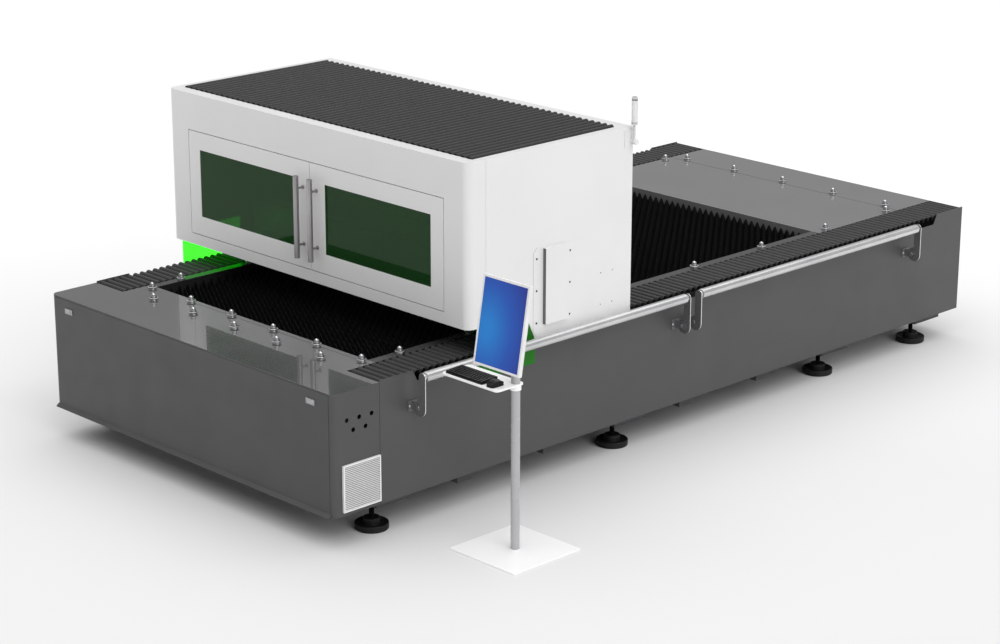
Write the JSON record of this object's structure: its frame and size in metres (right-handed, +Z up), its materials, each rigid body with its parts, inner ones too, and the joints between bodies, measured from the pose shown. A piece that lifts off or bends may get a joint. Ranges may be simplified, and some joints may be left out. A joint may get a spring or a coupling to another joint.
{
  "type": "fiber laser cutting machine",
  "caption": "Flatbed fibre laser cutter: a long slatted bed with a travelling cabin, folding side rollers, ball transfers and a separate operator stand.",
  "frame": {"origin": "on the floor, at the middle of the whole machine's bounding box", "axes": "+X across the bed towards the operator stand, +Y along the bed from the front housing to the rear, +Z up"},
  "size_m": [3.7604, 5.965, 2.323],
  "materials": {
    "frame_paint": "matt dark grey primer paint",
    "panel_paint": "semi-gloss dark grey powder coat",
    "cover_paint": "satin dark grey powder coat",
    "deck_paint": "semi-gloss mid-grey powder coat",
    "ledge_paint": "semi-gloss grey powder coat",
    "catch_steel": "satin zinc-plated pressing",
    "slat_steel": "hot-rolled steel, dark",
    "rack_steel": "matt black paint",
    "guide_steel": "ground hardened steel",
    "magnet_cover": "stainless cover strip over magnets",
    "bellows_cloth": "black coated cloth over stiff pleats",
    "foot_rubber": "black moulded rubber",
    "stud_black": "black oxide",
    "zinc_steel": "bright zinc plate",
    "screw_black": "black oxide",
    "grille_plastic": "white moulded plastic",
    "source_paint": "textured blue-grey paint",
    "cup_steel": "dark zinc plate",
    "ball_chrome": "polished ball steel",
    "arm_paint": "semi-gloss grey paint",
    "roller_paint": "gloss white",
    "cabin_white": "satin white powder coat",
    "roof_pleat": "dark coated cloth over stiff pleats",
    "window_glass": "dark green laser-safe acrylic",
    "curtain_green": "bright green laser-safe acrylic",
    "handle_steel": "brushed stainless",
    "gantry_paint": "machined and clear anodised",
    "head_metal": "clear anodised with a brass nozzle",
    "lamp_pole": "light grey moulded plastic",
    "lamp_lens": "clear moulded lens",
    "stand_white": "gloss white powder coat",
    "plastic_white": "white moulded plastic",
    "screen_face": "glossy screen face",
    "plastic_black": "black moulded plastic"
  },
  "bodies": {
    "bed": {"bed_frame": "frame_paint", "side_panel_left": "panel_paint", "side_panel_right": "panel_paint", "rear_end_panel": "panel_paint", "front_housing": "deck_paint", "front_cover_panel": "cover_paint", "cover_tabs": "catch_steel", "rear_deck": "deck_paint", "rear_inner_deck": "deck_paint", "pit_ledges": "ledge_paint", "slat_rack": "rack_steel", "cutting_slats": "slat_steel", "scrap_floor": "rack_steel", "guide_rails": "guide_steel", "magnet_tracks": "magnet_cover", "front_bellows": "bellows_cloth", "rear_bellows": "bellows_cloth", "foot_pads": "foot_rubber", "foot_studs": "stud_black", "foot_nuts": "stud_black", "vent_grille": "grille_plastic", "laser_source": "source_paint", "ball_cups": "cup_steel", "transfer_balls": "ball_chrome", "roller_brackets": "arm_paint", "roller_pivot_pins": "zinc_steel", "stand_base": "stand_white", "stand_post": "stand_white", "stand_tray": "stand_white", "keyboard": "plastic_black", "mouse": "plastic_black", "screen_bracket": "stand_white"},
    "screen": {"monitor_housing": "plastic_white", "screen_glass": "screen_face"},
    "front_arms": {"front_roller_frame": "arm_paint"},
    "rear_arms": {"rear_roller_frame": "arm_paint"},
    "front_roller_body": {"front_roller": "roller_paint"},
    "rear_roller_body": {"rear_roller": "roller_paint"},
    "cabin": {"cabin_front_shell": "cabin_white", "cabin_side_left": "cabin_white", "cabin_side_right": "cabin_white", "cabin_rear_panel": "cabin_white", "roof_pleats": "roof_pleat", "gantry_beam": "gantry_paint", "gantry_carriages": "gantry_paint", "side_curtains": "curtain_green", "service_cover": "cabin_white", "cover_screws": "screw_black", "beacon_bracket": "cabin_white", "door_hinge_pins": "zinc_steel"},
    "left_door_body": {"left_door": "cabin_white", "left_window": "window_glass", "left_handle": "handle_steel"},
    "right_door_body": {"right_door": "cabin_white", "right_window": "window_glass", "right_handle": "handle_steel"},
    "beacon": {"beacon_pole": "lamp_pole", "beacon_lens": "lamp_lens"},
    "cross": {"cross_carriage": "gantry_paint"},
    "head": {"cutting_head": "head_metal"}
  },
  "joints": [
    {"name": "gantry_travel", "type": "slide", "parent": "bed", "child": "cabin", "axis": [0, 1, 0], "range_m": [-0.918, 3.082], "deforming": ["front_bellows", "rear_bellows"]},
    {"name": "right_door_swing", "type": "hinge", "parent": "cabin", "child": "right_door_body", "pos_m": [0.74525, -1.9365, 1.54], "axis": [0, 0, 1], "range_deg": [0, 100]},
    {"name": "left_door_swing", "type": "hinge", "parent": "cabin", "child": "left_door_body", "pos_m": [-1.65775, -1.9365, 1.54], "axis": [0, 0, -1], "range_deg": [0, 100]},
    {"name": "cross_travel", "type": "slide", "parent": "cabin", "child": "cross", "axis": [1, 0, 0], "range_m": [-1, 1]},
    {"name": "head_lift", "type": "slide", "parent": "cross", "child": "head", "axis": [0, 0, 1], "range_m": [-0.095, 0.02]},
    {"name": "beacon_fold", "type": "hinge", "parent": "cabin", "child": "beacon", "pos_m": [0.99575, -0.5725, 2.04], "axis": [-1, 0, 0], "range_deg": [0, 90]},
    {"name": "front_rollers_fold", "type": "hinge", "parent": "bed", "child": "front_arms", "pos_m": [0.98675, -1.216, 0.75], "axis": [0, 1, 0], "range_deg": [0, 80]},
    {"name": "rear_rollers_fold", "type": "hinge", "parent": "bed", "child": "rear_arms", "pos_m": [0.98675, 1.1825, 0.75], "axis": [0, 1, 0], "range_deg": [0, 80]},
    {"name": "front_roller_spin", "type": "hinge", "parent": "front_arms", "child": "front_roller_body", "pos_m": [1.02125, -1.216, 0.943], "axis": [0, 1, 0], "continuous": true},
    {"name": "rear_roller_spin", "type": "hinge", "parent": "rear_arms", "child": "rear_roller_body", "pos_m": [1.02125, 1.1825, 0.943], "axis": [0, 1, 0], "continuous": true},
    {"name": "screen_tilt", "type": "hinge", "parent": "bed", "child": "screen", "pos_m": [1.60975, -2.251, 1.3741], "axis": [-1, 0, 0], "range_deg": [-12, 15]}
  ]
}
